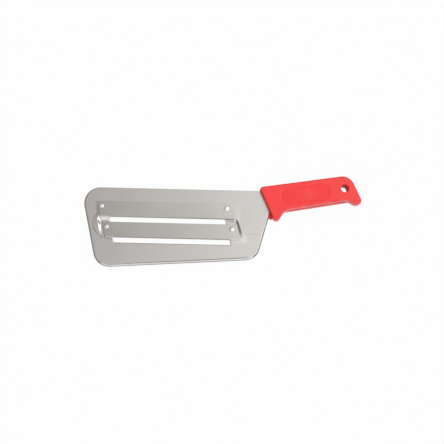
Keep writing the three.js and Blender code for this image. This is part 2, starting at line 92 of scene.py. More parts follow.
FRONT = SHEET / 2
STRIP_START, STRIP_END = TIP_MARGIN, TIP_MARGIN + STRIP_LENGTH
SLOT_START, SLOT_END = STRIP_START + SLOT_INSET, STRIP_END - SLOT_INSET
SPINE_LENGTH = STRIP_END + HEEL_MARGIN
UPPER_TOP = -SPINE_MARGIN
UPPER_EDGE = UPPER_TOP - STRIP_WIDTH * math.cos(UPPER_TILT)
LOWER_TOP = UPPER_EDGE - SLOT_GAP
LOWER_EDGE = LOWER_TOP - STRIP_WIDTH * math.cos(LOWER_TILT)
SLOT_FOOT = LOWER_EDGE - SLOT_GAP
HEEL_CORNER_Y = SLOT_FOOT - GROUND_MARGIN


def tip_edge(y):
    return -y * math.tan(TIP_SLANT)


def heel_edge(y):
    return SPINE_LENGTH + y * math.tan(HEEL_SLANT)


print(f"tip corner at x {tip_x:.2f}, spine at y {spine_y:.2f}, sheet at z {sheet_z:.2f} mm")

# %% [markdown]
# ## Maths on sockets
# Finishes and the pressed form are both rules, and a rule reads best as an expression. This small class wraps
# a node socket. Maths on wires adds the Math nodes behind the scenes, and add() puts in any other node: its
# settings come first, then the values or links of its sockets.

# %% One class for all node trees
class Wire:
    def __init__(self, tree, socket=None):
        self.tree = tree
        self.socket = socket

    def add(self, kind, settings=None, inputs=None, output=0):
        node = self.tree.nodes.new(kind)
        for name, value in (settings or {}).items():
            setattr(node, name, value)
        for name, value in (inputs or {}).items():
            if isinstance(value, Wire):
                self.tree.links.new(value.socket, node.inputs[name])
            else:
                node.inputs[name].default_value = value
        return Wire(self.tree, node.outputs[output] if node.outputs else None)

    def maths(self, operation, *values):
        return self.add("ShaderNodeMath", {"operation": operation}, dict(enumerate(values)))

    def __add__(self, other):
        return self.maths("ADD", self, other)

    def __sub__(self, other):
        return self.maths("SUBTRACT", self, other)

    def __rsub__(self, other):
        return self.maths("SUBTRACT", other, self)

    def __mul__(self, other):
        return self.maths("MULTIPLY", self, other)

    def __truediv__(self, other):
        return self.maths("DIVIDE", self, other)

    def __neg__(self):
        return self * -1

    __radd__ = __add__
    __rmul__ = __mul__

    def root(self):
        return self.maths("SQRT", self)

    def most(self, other):
        return self.maths("MAXIMUM", self, other)

    def least(self, other):
        return self.maths("MINIMUM", self, other)

    def step(self, low, high):
        """0 below low and 1 above high, with a smooth passage between them."""
        settings = {"interpolation_type": "SMOOTHSTEP"}
        return self.add("ShaderNodeMapRange", settings, {"Value": self, "From Min": low, "From Max": high})

    def between(self, rise, fall):
        """A step up over the range of rise, and down again over the range of fall."""
        return self.step(*rise) * (1 - self.step(*fall))

    def bend(self, softness):
        """0 below zero and the value above it, with a soft bend at zero."""
        return (self + (self * self + softness * softness).root()) / 2

    def part(self, axis):
        return self.add("ShaderNodeSeparateXYZ", inputs={"Vector": self}, output=axis)

    def across(self, other):
        """The distance from zero of a point with these two coordinates."""
        return (self * self + other * other).root()

    def ramp(self, crest=0.1, foot=0.06):
        """1 at zero, falling to 0 at one in a straight line that is rounded at both ends."""
        return (1 + crest - self.across(crest)).bend(foot)

    def blend(self, low, high):
        """A colour between low, where this wire is 0, and high, where it is 1."""
        settings = {"data_type": "RGBA"}
        return self.add("ShaderNodeMix", settings, {"Factor": self, 6: low, 7: high}, 2)


print("wires ready")

# %% [markdown]
# ## Steel finishes
# The plate is rolled sheet with a satin face, which has fine streaks from rolling and faint clouds from
# handling. A noise that is stretched along X makes the streaks. They vary the roughness and drive a very
# small bump, so that they show only where light grazes. A wide noise makes the clouds. A grade along X makes
# the strips paler towards the handle: painted light, where the studio is brighter. Faces that a grindstone
# has cut carry an attribute for it, and get a tone of their own and finer marks. On the plate that is the
# ground steel's own tone; on the strips it is dark, a painted shade for the shadowed gap under the edge.

# %% Helpers for finishes
def empty_tree(owner):
    owner.use_nodes = True
    owner.node_tree.nodes.clear()
    return Wire(owner.node_tree)


def new_finish(name):
    material = bpy.data.materials.new(name)
    return material, empty_tree(material)


def close_finish(start, inputs):
    shader = start.add("ShaderNodeBsdfPrincipled", inputs=inputs)
    start.add("ShaderNodeOutputMaterial", inputs={"Surface": shader})


def noise_on(start, scale, stretch=(1, 1, 1), detail=4.0):
    place = start.add("ShaderNodeTexCoord", output="Object")
    place = start.add("ShaderNodeMapping", inputs={"Vector": place, "Scale": stretch})
    return start.add("ShaderNodeTexNoise", inputs={"Vector": place, "Scale": scale, "Detail": detail})


def surface_mark(start, name):
    return start.add("ShaderNodeAttribute", {"attribute_name": name}, output="Fac")


NOISE_MIDDLE = 0.5
print("finish helpers ready")

# %% Steel
STREAKS = {"scale": 2600, "stretch": (0.015, 1, 1), "detail": 3.0}
CLOUDS = {"scale": 45, "stretch": (0.5, 1, 1)}
GRIND_MARKS = {"scale": 1900, "stretch": (1, 0.05, 0.3), "detail": 2.0}
STREAK_SHARE, GRADE_MIDDLE = 0.15, -0.06
STREAK_ROUGH, CLOUD_ROUGH, GRIND_ROUGH, GRIND_POLISH = 0.04, 0.06, 0.1, 0.04
STEEL_RELIEF = {"Strength": 0.008, "Distance": 0.00005}


def steel_finish(name, dull, bright, ground_and_shade, roughness, painted_light_grade=0.0):
    material, start = new_finish(name)
    streaks, clouds, grind = (noise_on(start, **noise) for noise in (STREAKS, CLOUDS, GRIND_MARKS))
    cut = surface_mark(start, "ground_and_shade")
    along = start.add("ShaderNodeTexCoord", output="Object").part(0) - GRADE_MIDDLE
    # Painted light: the grade makes the strips paler towards the handle, where the studio is brighter.
    face = (clouds * (1 - STREAK_SHARE) + streaks * STREAK_SHARE + along * painted_light_grade).blend(dull, bright)
    rough = roughness + (streaks - NOISE_MIDDLE) * STREAK_ROUGH + (clouds - NOISE_MIDDLE) * CLOUD_ROUGH
    rough = rough + cut * ((grind - NOISE_MIDDLE) * GRIND_ROUGH - GRIND_POLISH)
    height = streaks * (1 - cut) + grind * cut
    relief = start.add("ShaderNodeBump", inputs={"Height": height, **STEEL_RELIEF})
    # On the strips the ground tone is a dark painted shade for the shadowed gap under the cutting edge.
    colour = cut.blend(face, ground_and_shade)
    close_finish(start, {"Base Color": colour, "Roughness": rough, "Metallic": 1.0, "Normal": relief})
    return material


BLADE_STEEL = steel_finish(
    "blade_steel", (0.504, 0.481, 0.461, 1), (0.533, 0.508, 0.49, 1), (0.62, 0.61, 0.6, 1), 0.24)
# The strips' ground tone is a dark painted shade, and their grade of 3.7 is painted light.
STRIP_STEEL = steel_finish(
    "strip_steel", (0.421, 0.402, 0.378, 1), (0.52, 0.496, 0.468, 1), (0.25, 0.24, 0.225, 1), 0.25, 3.7)
RIVET_STEEL = steel_finish(
    "rivet_steel", (0.67, 0.66, 0.645, 1), (0.73, 0.72, 0.705, 1), (0.73, 0.72, 0.705, 1), 0.3)
print("steel finishes:", BLADE_STEEL.name, STRIP_STEEL.name, RIVET_STEEL.name)

# %% [markdown]
# ## Moulded red plastic
# The handle is a coloured plastic with a satin skin that has a fine grain. The recess in each face is matt
# and a slightly deeper red, because the mould is etched there. The bore of the hang hole is rougher, and it
# is
# painted darker: a painted shade inside the hole. The lower sides and rims are painted paler in patches like
# scuffs: a painted highlight, where the front light catches them. Three attributes, for the recess, the
# painted highlight and the bore, say where, and are set on the points of the mesh when the handle is made.

# %% The handle's finish
SKIN = {"scale": 2600, "detail": 2.0}
ETCHING = {"scale": 5200, "detail": 1.0}
# The scuff noise varies the roughness, and also breaks the painted highlight into patches.
SCUFFS_AND_SHEEN = {"scale": 260, "stretch": (0.4, 1, 1), "detail": 5.0}
TONE = {"scale": 60}
DEEP_RED, BRIGHT_RED = (0.975, 0.027, 0.026, 1), (0.99, 0.034, 0.032, 1)
# The paler red is a painted highlight on the underside; the darker last red is a painted shade in the bore.
RECESS_RED, SHEEN_PAINTED_RED, BORE_SHADE_RED = (0.965, 0.018, 0.0175, 1), (0.99, 0.2, 0.19, 1), (0.75, 0.025, 0.024, 1)
HANDLE_MARKS, SHEEN_PATCHES = ("recess", "painted_sheen", "shaded_bore"), (0.2, 0.6)
SKIN_ROUGH, RECESS_ROUGH, BORE_ROUGH, SCUFF_ROUGH = 0.36, 0.06, 0.3, 0.1
SKIN_RELIEF = {"Strength": 0.12, "Distance": 0.00006}


def plastic_finish(name):
    material, start = new_finish(name)
    recess, painted_sheen, shaded_bore = (surface_mark(start, mark) for mark in HANDLE_MARKS)
    skin, etched, scuffs_and_sheen, tone = (noise_on(start, **noise) for noise in (SKIN, ETCHING, SCUFFS_AND_SHEEN, TONE))
    moulded = recess.blend(tone.blend(DEEP_RED, BRIGHT_RED), RECESS_RED)
    # Painted highlight: the underside's sides are painted paler in patches of the scuff noise.
    with_sheen = (painted_sheen * scuffs_and_sheen.step(*SHEEN_PATCHES)).blend(moulded, SHEEN_PAINTED_RED)
    rough = SKIN_ROUGH + recess * RECESS_ROUGH + shaded_bore * BORE_ROUGH + (scuffs_and_sheen - NOISE_MIDDLE) * SCUFF_ROUGH
    height = skin * (1 - recess) + etched * recess
    relief = start.add("ShaderNodeBump", inputs={"Height": height, **SKIN_RELIEF})
    # Painted shade: the bore of the hang hole is painted darker.
    colour = shaded_bore.blend(with_sheen, BORE_SHADE_RED)
    close_finish(start, {"Base Color": colour, "Roughness": rough, "Normal": relief})
    return material


RED_PLASTIC = plastic_finish("handle_plastic")
print("plastic finish:", RED_PLASTIC.name)

# %% [markdown]
# ## Outlines, rings and fills
# Plate and handle are both flat shapes with a worked rim, so they share three tools. The first rounds the
# corners of an outline and gives the outward direction at each point. The second joins rings of points into
# bands: an outline moved inwards and down a little at a time draws any rim. The third fills what is left by
# a Delaunay triangulation, which keeps the rings as edges and takes loose points, so that a face can be fine
# just where it will be bent.

# %% Rounded outlines
def rounded_outline(corners, longest=2.5, turn=math.radians(4)):
    """Points and outward directions of an anticlockwise outline, whose corners are (x, y, radius)."""
    points, normals = [], []

    def go_straight(end):
        straight = end - points[-1]
        pieces = math.ceil(straight.length / longest)
        for _ in range(1, pieces):
            points.append(points[-1] + straight / pieces)
            normals.append(normals[-1])

    for index, (x, y, radius) in enumerate(corners):
        corner = Vector((x, y))
        back = (Vector(corners[index - 1][:2]) - corner).normalized()
        ahead = (Vector(corners[(index + 1) % len(corners)][:2]) - corner).normalized()
        half = back.angle(ahead) / 2
        centre = corner + (back + ahead).normalized() * (radius / math.sin(half))
        first = corner + back * (radius / math.tan(half)) - centre
        outwards = 1 if ahead.cross(back) > 0 else -1
        sweep = outwards * (math.pi - 2 * half)
        if points:
            go_straight(centre + first)
        steps = max(3, math.ceil(abs(sweep) / turn))
        for step in range(steps + 1):
            arm = Matrix.Rotation(sweep * step / steps, 2) @ first
            points.append(centre + arm)
            normals.append(outwards * arm.normalized())
    go_straight(points[0])
    return np.array(points), np.array(normals)


print("outline tool ready")

# %% Rings and bands
def add_ring(mesh, points, heights):
    heights = np.broadcast_to(heights, len(points))
    return [mesh.verts.new((x, y, z)) for (x, y), z in zip(points, heights)]


def add_rings(mesh, outline, profile, face=1):
    """Rings of an outline, each moved out by a step of the profile. A face of -1 turns the heights over."""
    points, normals = outline
    return [add_ring(mesh, points + normals * out, face * z) for out, z in profile]


def add_bands(mesh, rings):
    for ring, following in zip(rings, rings[1:]):
        for a, b in zip(range(-1, len(ring) - 1), range(len(ring))):
            mesh.faces.new((ring[a], ring[b], following[b], following[a]))


def banded(mesh, outline, profile, face=1):
    rings = add_rings(mesh, outline, profile, face)
    add_bands(mesh, rings)
    return rings


def loop_of(ring):
    return np.array([vertex.co.xy for vertex in ring])


print("ring tools ready")

# %% Fills
LEVEL_EDGE, SAME_POINT, INSIDE_ONLY = 1e-12, 1e-6, 1
SHARP = math.radians(35)


def is_inside(points, loop):
    """Which points lie inside a closed loop: those from which a ray crosses it an odd number of times."""
    x, y = points[:, 0, None], points[:, 1, None]
    x0, y0 = loop[:, 0], loop[:, 1]
    x1, y1 = np.roll(x0, -1), np.roll(y0, -1)
    rise = np.where(y1 == y0, LEVEL_EDGE, y1 - y0)
    crosses = ((y0 > y) != (y1 > y)) & (x < (x1 - x0) * (y - y0) / rise + x0)
    return crosses.sum(axis=1) % 2 == 1


def fill_between(mesh, outer, holes=(), loose=(), height=0.0):
    """Triangles inside the outer ring and outside the holes, which use the loose points too."""
    corners = [vertex for ring in (outer, *holes) for vertex in ring]
    edges, start = [], 0
    for ring in (outer, *holes):
        edges += [(start + i, start + (i + 1) % len(ring)) for i in range(len(ring))]
        start += len(ring)
    flat = [vertex.co.xy for vertex in corners] + [Vector(point) for point in loose]
    places, _, triangles, sources, _, _ = delaunay_2d_cdt(flat, edges, [], INSIDE_ONLY, SAME_POINT)
    made = []
    for place, source in zip(places, sources):
        known = min(source) if source else len(corners)
        made.append(corners[known] if known < len(corners) else mesh.verts.new((*place, height)))
    middles = np.array([sum((places[i] for i in triangle), Vector((0, 0))) / 3 for triangle in triangles])
    keep = is_inside(middles, loop_of(outer))
    for hole in holes:
        keep &= ~is_inside(middles, loop_of(hole))
    for triangle, kept in zip(triangles, keep):
        if kept:
            mesh.faces.new([made[i] for i in triangle])


def new_object(name, data):
    made = bpy.data.objects.new(name, data)
    bpy.context.scene.collection.objects.link(made)
    return made


def lay_mesh(data, matrix):
    """Lays a mesh by a matrix and shades it softly up to a sharp angle."""
    data.transform(matrix)
    data.shade_smooth()
    data.set_sharp_from_angle(angle=SHARP)
    return data


def close_mesh(name, mesh, matrix, material):
    bmesh.ops.recalc_face_normals(mesh, faces=mesh.faces)
    open_edges = sum(not edge.is_manifold for edge in mesh.edges)
    data = bpy.data.meshes.new(name)
    mesh.to_mesh(data)
    mesh.free()
    lay_mesh(data, matrix).materials.append(material)
    print(f"{name}: {len(data.polygons)} faces, {open_edges} open edges")
    return new_object(name, data)


print("fill tools ready")

# %% [markdown]
# ## The blank of the blade
# The plate is first cut flat from sheet. Its tip and heel edges are coined, so that they roll over a little,
# and its lower edge is ground to a stepped slope that runs out round both corners. All of this depends on the
# distance from the edge only, so rings draw it, close together where the rim has a corner. The outline stays
# a hair inside the CAD's, so that rounding can't make the box larger. The blank stays flat here, with its
# slots open: the press comes next, as it does in the factory.

# %% Outline of the plate
HANDLE_RISE, HANDLE_OVERLAP, HANDLE_PROUD = math.radians(9.0), 19.8, 3.1
HANDLE_FRAME = Matrix.Translation((SPINE_LENGTH - HANDLE_OVERLAP, HANDLE_PROUD, 0))
HANDLE_FRAME = HANDLE_FRAME @ Matrix.Rotation(HANDLE_RISE, 4, "Z")
TANG_TOP, TANG_BOTTOM, TANG_END = -5.0, -23.0, 83.8
TIP_SPINE_RADIUS, TIP_GROUND_RADIUS, HEEL_GROUND_RADIUS = 18, 18.5, 17
TANG_ROOT_RADIUS, TANG_END_RADIUS, SPINE_END_RADIUS = 8, 4, 3
HAIR_INSIDE = 0.004


def handle_point(u, v):
    return (HANDLE_FRAME @ Vector((u, v, 0))).xy


def where_zero(v, distance):
    """The point at height v on the handle where a distance, which is linear over the plate, is zero."""
    here, further = distance(*handle_point(0, v)), distance(*handle_point(1, v))
    return handle_point(here / (here - further), v)


ground_slope = math.tan(GROUND_RISE)
ground_at_tip = HEEL_CORNER_Y - heel_edge(HEEL_CORNER_Y) * ground_slope
tip_corner_x = -ground_at_tip * math.tan(TIP_SLANT) / (1 + ground_slope * math.tan(TIP_SLANT))
spine_end = where_zero(TANG_TOP, lambda x, y: y)
tang_root = where_zero(TANG_BOTTOM, lambda x, y: x - heel_edge(y))
plate_points, plate_normals = rounded_outline([
    (0, 0, TIP_SPINE_RADIUS),
    (tip_corner_x, ground_at_tip + tip_corner_x * ground_slope, TIP_GROUND_RADIUS),
    (heel_edge(HEEL_CORNER_Y), HEEL_CORNER_Y, HEEL_GROUND_RADIUS),
    (*tang_root, TANG_ROOT_RADIUS),
    (*handle_point(TANG_END, TANG_BOTTOM), TANG_END_RADIUS),
    (*handle_point(TANG_END, TANG_TOP), TANG_END_RADIUS),
    (*spine_end, SPINE_END_RADIUS),
])
plate_points -= HAIR_INSIDE * plate_normals
print("plate outline:", len(plate_points), "points")

# %% Rim of the plate
ROLL_WIDTH, ROLL_DROP, COIN_RUN, COIN_DROP = 2.8, 0.15, 1.2, 0.68
BEVEL_WIDTH, BEVEL_LEAST, STEP_RUN, EDGE_RUN = 3.1, 0.02, 0.75, 0.85
STEP_DROP, SLOPE_DROP, EDGE_DROP = 0.5, 0.05, 0.5
SPINE_ROLL, SPINE_FACING = 0.12, (-0.1, 0.9)


def smooth(value, low, high):
    part = np.clip((value - low) / (high - low), 0, 1)
    return part * part * (3 - 2 * part)


facing = np.arctan2(plate_normals[:, 1], plate_normals[:, 0]) % (2 * math.pi)
tip_facing, heel_facing = math.pi + TIP_SLANT, 2 * math.pi - HEEL_SLANT
ground_facing = 1.5 * math.pi - GROUND_RISE
bevel = smooth(facing, tip_facing, ground_facing) * (1 - smooth(facing, ground_facing, heel_facing))
bevel *= (facing > tip_facing) & (facing < heel_facing)
roll = (1 - bevel) * (1 - (1 - SPINE_ROLL) * smooth(plate_normals[:, 1], *SPINE_FACING))


def front_drop(inset):
    """How far the front face lies below the sheet's face, at this distance in from the edge."""
    rolled = ROLL_DROP * np.clip(1 - inset / ROLL_WIDTH, 0, 1) ** 2
    rolled += COIN_DROP * np.clip(1 - inset / COIN_RUN, 0, 1)
    part = inset / np.maximum(bevel, BEVEL_LEAST)
    step = STEP_DROP * np.clip((BEVEL_WIDTH - part) / STEP_RUN, 0, 1)
    slope = SLOPE_DROP * np.clip(1 - part / (BEVEL_WIDTH - STEP_RUN), 0, 1)
    edge = EDGE_DROP * np.clip(1 - part / EDGE_RUN, 0, 1)
    return roll * rolled + bevel * (step + slope + edge)


roll_insets = np.array([0, 0.4, 0.8, 1.16, 1.2, 1.24, 1.4, 1.6, 1.85, 2.1, 2.4, 2.6, 2.8, 3.5])
bevel_insets = np.array([0, 0.4, 0.82, 0.88, 1.3, 1.9, 2.31, 2.37, 2.5, 2.7, 2.9, 3.06, 3.13, 3.8])
rim_insets = [a + (b - a) * bevel for a, b in zip(roll_insets, bevel_insets)]
print("rim rings:", len(rim_insets))

# %% [markdown]
# ## Points for the press
# A flat face can be bent only where it has points. The grid is coarse on the flats and fine over the seats,
# the pocket's walls and the ends of the raised form. The crease at the tip and the foot of the panel at the
# heel get rows of their own. Places are counted by s, the distance from the tip edge, because the strips and
# slots lean as it does.

# %% Where the press will bend the sheet
UPPER_SEAT, LOWER_SEAT = UPPER_EDGE + STRIP_OVERHANG, LOWER_EDGE + STRIP_OVERHANG
BEND_SETBACK, POCKET_DEPTH, POCKET_LEDGE, RAISED_RUN = 0.4, 1.4, 1.7, 5.6
UPPER_BEND, LOWER_BEND = UPPER_SEAT - BEND_SETBACK, LOWER_SEAT - BEND_SETBACK
POCKET_TOP, RAISED_FOOT = LOWER_TOP + POCKET_LEDGE, LOWER_BEND - RAISED_RUN
TIP_POCKET, HEEL_POCKET = 0.9, 2.0
HEEL_WALL = STRIP_END + HEEL_POCKET
TIP_FOOT, SLOT_FOOT_RUN, CREASE_FINE = 1.1, 4.0, 0.4
PANEL_DROP, PANEL_WALL = 10.3, 0.38
PANEL_FOOT = LOWER_TOP - PANEL_DROP


def crease_line(s):
    """Where the raised lip ends below the lower strip's tip end, in a crease down to the slot's corner."""
    return LOWER_BEND - TIP_FOOT - (SLOT_FOOT_RUN - TIP_FOOT) * np.clip((s - STRIP_START) / SLOT_INSET, 0, 1)


print(f"bends at y {UPPER_BEND:.1f} and {LOWER_BEND:.1f}, pocket from y {POCKET_TOP:.1f} mm")

# %% Loose points
LEAST_GAP, EDGE_GAP, FINE_GAP, BEND_REACH, HEEL_REACH, SLOT_REACH = 0.12, 2, 0.35, 1.5, 14, 1
CREASE_ROWS, CREASE_BELOW, CREASE_ABOVE = np.linspace(-0.3, 1.3, 9), -2 * CREASE_FINE, 3 * CREASE_FINE
PANEL_ROWS, PANEL_CLEAR = np.linspace(-0.5, 0.5, 7), 2 * PANEL_WALL

# Spans of grid lines: from, to and spacing
ALONG = (
    (EDGE_GAP, SPINE_LENGTH, 4.0),
    (EDGE_GAP, SLOT_START, FINE_GAP),
    (STRIP_START - 3.2, STRIP_START, 0.22),
    (STRIP_END - EDGE_GAP, STRIP_END + HEEL_REACH, 0.6),
    (HEEL_WALL - 3.0, HEEL_WALL + 2.6, 0.2),
    (STRIP_END + HEEL_REACH, SPINE_LENGTH, 1.6),
)
ACROSS = (
    (HEEL_CORNER_Y - 10, -EDGE_GAP, 3.0),
    (UPPER_TOP - BEND_REACH, UPPER_TOP + BEND_REACH, 0.5),
    (POCKET_TOP - BEND_REACH, UPPER_BEND + BEND_REACH, FINE_GAP),
    (LOWER_BEND, POCKET_TOP - BEND_REACH, 0.5),
    (RAISED_FOOT - BEND_REACH, LOWER_BEND + BEND_REACH, 0.45),
)


def lines_of(spans):
    """All lines of the spans in rising order, with none too near the one before it."""
    lines = np.concatenate([np.arange(low, high, gap) for low, high, gap in spans])
    lines.sort()
    return lines[np.insert(np.diff(lines) > LEAST_GAP, 0, True)]


def bending_grid():
    """The grid's places (s, y), less those near the crease and the panel's foot."""
    s, y = (part.ravel() for part in np.meshgrid(lines_of(ALONG), lines_of(ACROSS)))
    above = y - crease_line(s)
    keep = (s > SLOT_START + SLOT_REACH) | (above < CREASE_BELOW) | (above > CREASE_ABOVE)
    keep &= (s < STRIP_END) | (abs(y - PANEL_FOOT) > PANEL_CLEAR)
    return s[keep], y[keep]


def loose_points(outer, holes, clear=0.3):
    """Places for points inside the outer loop, clear of its edge and of the holes."""
    s, y = bending_grid()
    on_crease, over = np.meshgrid(np.arange(EDGE_GAP, SLOT_START, FINE_GAP), CREASE_ROWS)
    crease_y = crease_line(on_crease) + CREASE_FINE * over
    on_foot, over = np.meshgrid(np.arange(STRIP_END, SPINE_LENGTH, FINE_GAP), PANEL_ROWS)
    on_foot = on_foot - tip_edge(PANEL_WALL * over)
    foot_y = PANEL_FOOT + PANEL_WALL * over
    s = np.concatenate([s, on_crease.ravel(), on_foot.ravel()])
    y = np.concatenate([y, crease_y.ravel(), foot_y.ravel()])
    places = np.stack([s + tip_edge(y), y], axis=-1)
    places = places[is_inside(places, outer)]
    for hole in holes:
        places = places[~is_inside(places, hole)]
    edges = np.concatenate([outer, *holes])
    nearest = np.min([np.hypot(*(places - edge).T) for edge in edges], axis=0)
    return places[nearest > clear]


print("grid points:", len(bending_grid()[0]))

# %% The flat blank
SLOT_CORNER, SLOT_TURN, SLOT_BURR = 0.8, math.radians(15), 0.15
SLOT_ROLL = ((1.2, 0), (0.6, 0.02), (0.35, 0.1), (0.15, 0.25), (0.03, 0.42), (0, 0.6))
SLOT_BACK = ((0, SLOT_BURR - FRONT), (SLOT_BURR, -FRONT), (3 * SLOT_BURR, -FRONT))
BACK_ROUND, BACK_FLAT, GROUND_FADE = 0.12, 0.6, 3


def slot_outline(top, foot):
    ends = ((SLOT_START, top), (SLOT_START, foot), (SLOT_END, foot), (SLOT_END, top))
    return rounded_outline([(s + tip_edge(y), y, SLOT_CORNER) for s, y in ends], turn=SLOT_TURN)


def plate_rim(mesh):
    """Rings from the innermost one in front, out round the edge, to the innermost one behind."""
    ground_and_shade = mesh.verts.layers.float.new("ground_and_shade")
    fronts = []
    for inset in rim_insets:
        ring = add_ring(mesh, plate_points - plate_normals * inset[:, None], FRONT - front_drop(inset))
        for vertex, cut in zip(ring, (inset < bevel * BEVEL_WIDTH) * bevel):
            vertex[ground_and_shade] = min(1.0, GROUND_FADE * cut)
        fronts.append(ring)
    back = ((0, BACK_ROUND - FRONT), (-BACK_ROUND, -FRONT), (-BACK_FLAT, -FRONT))
    return [*reversed(fronts), *add_rings(mesh, (plate_points, plate_normals), back)]


def flat_blank():
    mesh = bmesh.new()
    rim = plate_rim(mesh)
    add_bands(mesh, rim)
    slots = []
    for top, foot in ((UPPER_SEAT, LOWER_TOP), (LOWER_SEAT, SLOT_FOOT)):
        profile = [(out, FRONT - drop) for out, drop in SLOT_ROLL]
        slots.append(banded(mesh, slot_outline(top, foot), [*profile, *SLOT_BACK]))
    for side, height in ((0, FRONT), (-1, -FRONT)):
        outer, holes = rim[side], [rings[side] for rings in slots]
        places = loose_points(loop_of(outer), [loop_of(hole) for hole in holes])
        fill_between(mesh, outer, holes, places, height)
    return mesh


blade = close_mesh("blade", flat_blank(), Matrix.Identity(4), BLADE_STEEL)

# %% [markdown]
# ## A node tree that makes a mesh
# Geometry Nodes suit what follows a rule and what repeats. Each tree here has a named input for each size and
# ends in Realize Instances and Set Material. It is run once: the sizes are set on the modifier, the result
# becomes a plain mesh in the CAD frame, and the modifier goes.

# %% Building and running a tree
def new_tree(name, sizes):
    """A Geometry Nodes tree with a named input for each size, and the wires of its inputs."""
    tree = bpy.data.node_groups.new(name, "GeometryNodeTree")
    tree.interface.new_socket("Geometry", in_out="INPUT", socket_type="NodeSocketGeometry")
    tree.interface.new_socket("Geometry", in_out="OUTPUT", socket_type="NodeSocketGeometry")
    for size in sizes:
        tree.interface.new_socket(size, in_out="INPUT", socket_type="NodeSocketFloat")
    tree.interface.new_socket("Material", in_out="INPUT", socket_type="NodeSocketMaterial")
    source = tree.nodes.new("NodeGroupInput")
    return tree, Wire(tree), {socket.name: Wire(tree, socket) for socket in source.outputs if socket.name}


def close_tree(start, geometry, material):
    geometry = start.add("GeometryNodeRealizeInstances", inputs={"Geometry": geometry})
    geometry = start.add("GeometryNodeSetMaterial", inputs={"Geometry": geometry, "Material": material})
    start.add("NodeGroupOutput", inputs={"Geometry": geometry})


def plain_mesh(piece, modifier):
    """The mesh that a modifier makes of a piece. The modifier is then removed."""
    evaluated = piece.evaluated_get(bpy.context.evaluated_depsgraph_get())
    data = bpy.data.meshes.new_from_object(evaluated)
    piece.modifiers.remove(modifier)
    return data


def run_tree(piece, tree, sizes, material):
    modifier = piece.modifiers.new(tree.name, "NODES")
    modifier.node_group = tree
    for socket in tree.interface.items_tree:
        if socket.in_out == "INPUT" and socket.name in sizes:
            modifier[socket.identifier] = sizes[socket.name]
        elif socket.name == "Material":
            modifier[socket.identifier] = material
    piece.data = lay_mesh(plain_mesh(piece, modifier), LAY)
    places = np.array([vertex.co for vertex in piece.data.vertices])
    size = np.round(METRE * np.ptp(places, axis=0), 2)
    print(f"{piece.name}: {len(places)} points, size in mm", size)


print("tree tools ready")

# %% [markdown]
# ## Pressing the blade
# The press turns the flat blank into two louvres. Each strip gets a tilted seat that rises to the strip's
# cutting edge, so a shred slides through the slot below it. The lower seat starts in a sunk pocket. Past the
# strips' ends the form fades into the flat rim, with a blunt cone at the tip, and a shallow panel stiffens
# the sheet before the handle. All of this follows a rule, so a Geometry Nodes tree lifts each point by a
# height that it works out from the point's place. Soft bends round it like the edges of a press tool.

# %% Lip and cone
CONE_REACH, CONE_LEAST = 9.2, 0.8
CONE_MIDDLE, CONE_LOW, CONE_HIGH = LOWER_TOP - 5.6, LOWER_BEND - 2.2, UPPER_BEND + 4.8
CREASE_HIGH, CREASE_LOW, CREASE_FOOT, CREASE_WIDE = 0.12, 0.5, 0.8, 0.9
CREASE_TOP, CREASE_SPAN, FOOT_TURN = CONE_MIDDLE + 3, 7, 0.5
HEEL_RUN, HEEL_FOOT = 6.5, 4.0


def lip_height(y, given):
    """The rise of the upper seat, then level, then the rise of the lower seat, each up to its bend."""
    upper, lower, soft = given["Upper seat slope"], given["Lower seat slope"], given["Bend softness"]
    upper_rise = upper * (UPPER_TOP - UPPER_BEND)
    pocket_end = LOWER_TOP - (given["Pocket depth"] + upper_rise) / lower
    lip = upper * ((UPPER_TOP - y).bend(soft) - (UPPER_BEND - y).bend(soft))
    return lip + lower * ((pocket_end - y).bend(soft) - (LOWER_BEND - y).bend(soft))


def past_ends(s):
    """How far a point lies past the ends of the strips' pocket. Between them it is less than zero."""
    return (STRIP_START - TIP_POCKET - s).most(s - HEEL_WALL)


def raised_form(s, y, lip):
    """The lip, which runs out past the strips' ends and below the lower seat, with a crease at the tip."""
    at_tip = (STRIP_END / 2 - s).step(0, 1)
    under, over = (CONE_MIDDLE - y) / (CONE_MIDDLE - CONE_LOW), (y - CONE_MIDDLE) / (CONE_HIGH - CONE_MIDDLE)
    off_middle = under.most(over)
    cone = (CONE_REACH * (1 - off_middle * off_middle)).most(CONE_LEAST)
    run_out = HEEL_RUN + (cone - HEEL_RUN) * at_tip
    foot_run = TIP_FOOT + (SLOT_FOOT_RUN - TIP_FOOT) * ((s - STRIP_START) / SLOT_INSET).most(0).least(1)
    foot_run = HEEL_FOOT + (foot_run - HEEL_FOOT) * at_tip
    fade = (past_ends(s).most(0) / run_out).across((LOWER_BEND - y).most(0) / foot_run)
    below = (LOWER_BEND - y).step(-FOOT_TURN, FOOT_TURN)
    crease = CREASE_HIGH + (CREASE_LOW - CREASE_HIGH) * (CREASE_TOP - y).step(0, CREASE_SPAN)
    crease = at_tip * (crease + (CREASE_FOOT - CREASE_LOW) * below)
    crease_width = CREASE_WIDE + (CREASE_FINE - CREASE_WIDE) * below
    inside = (1 - fade) * (run_out + (foot_run - run_out) * below) / crease_width
    return lip * (crease * inside.step(0, 1) + (1 - crease) * fade.ramp())


print(f"cone from y {CONE_LOW:.1f} to {CONE_HIGH:.1f} mm")

# %% Pocket and panel
POCKET_CORNER, CORNER_LEAST, WALL_FILLET, WALL_EASE = 2.2, 0.01, 0.15, 0.07
PANEL_REACH, PANEL_FLAT, PANEL_EDGE = 24.0, 8.0, 3.0


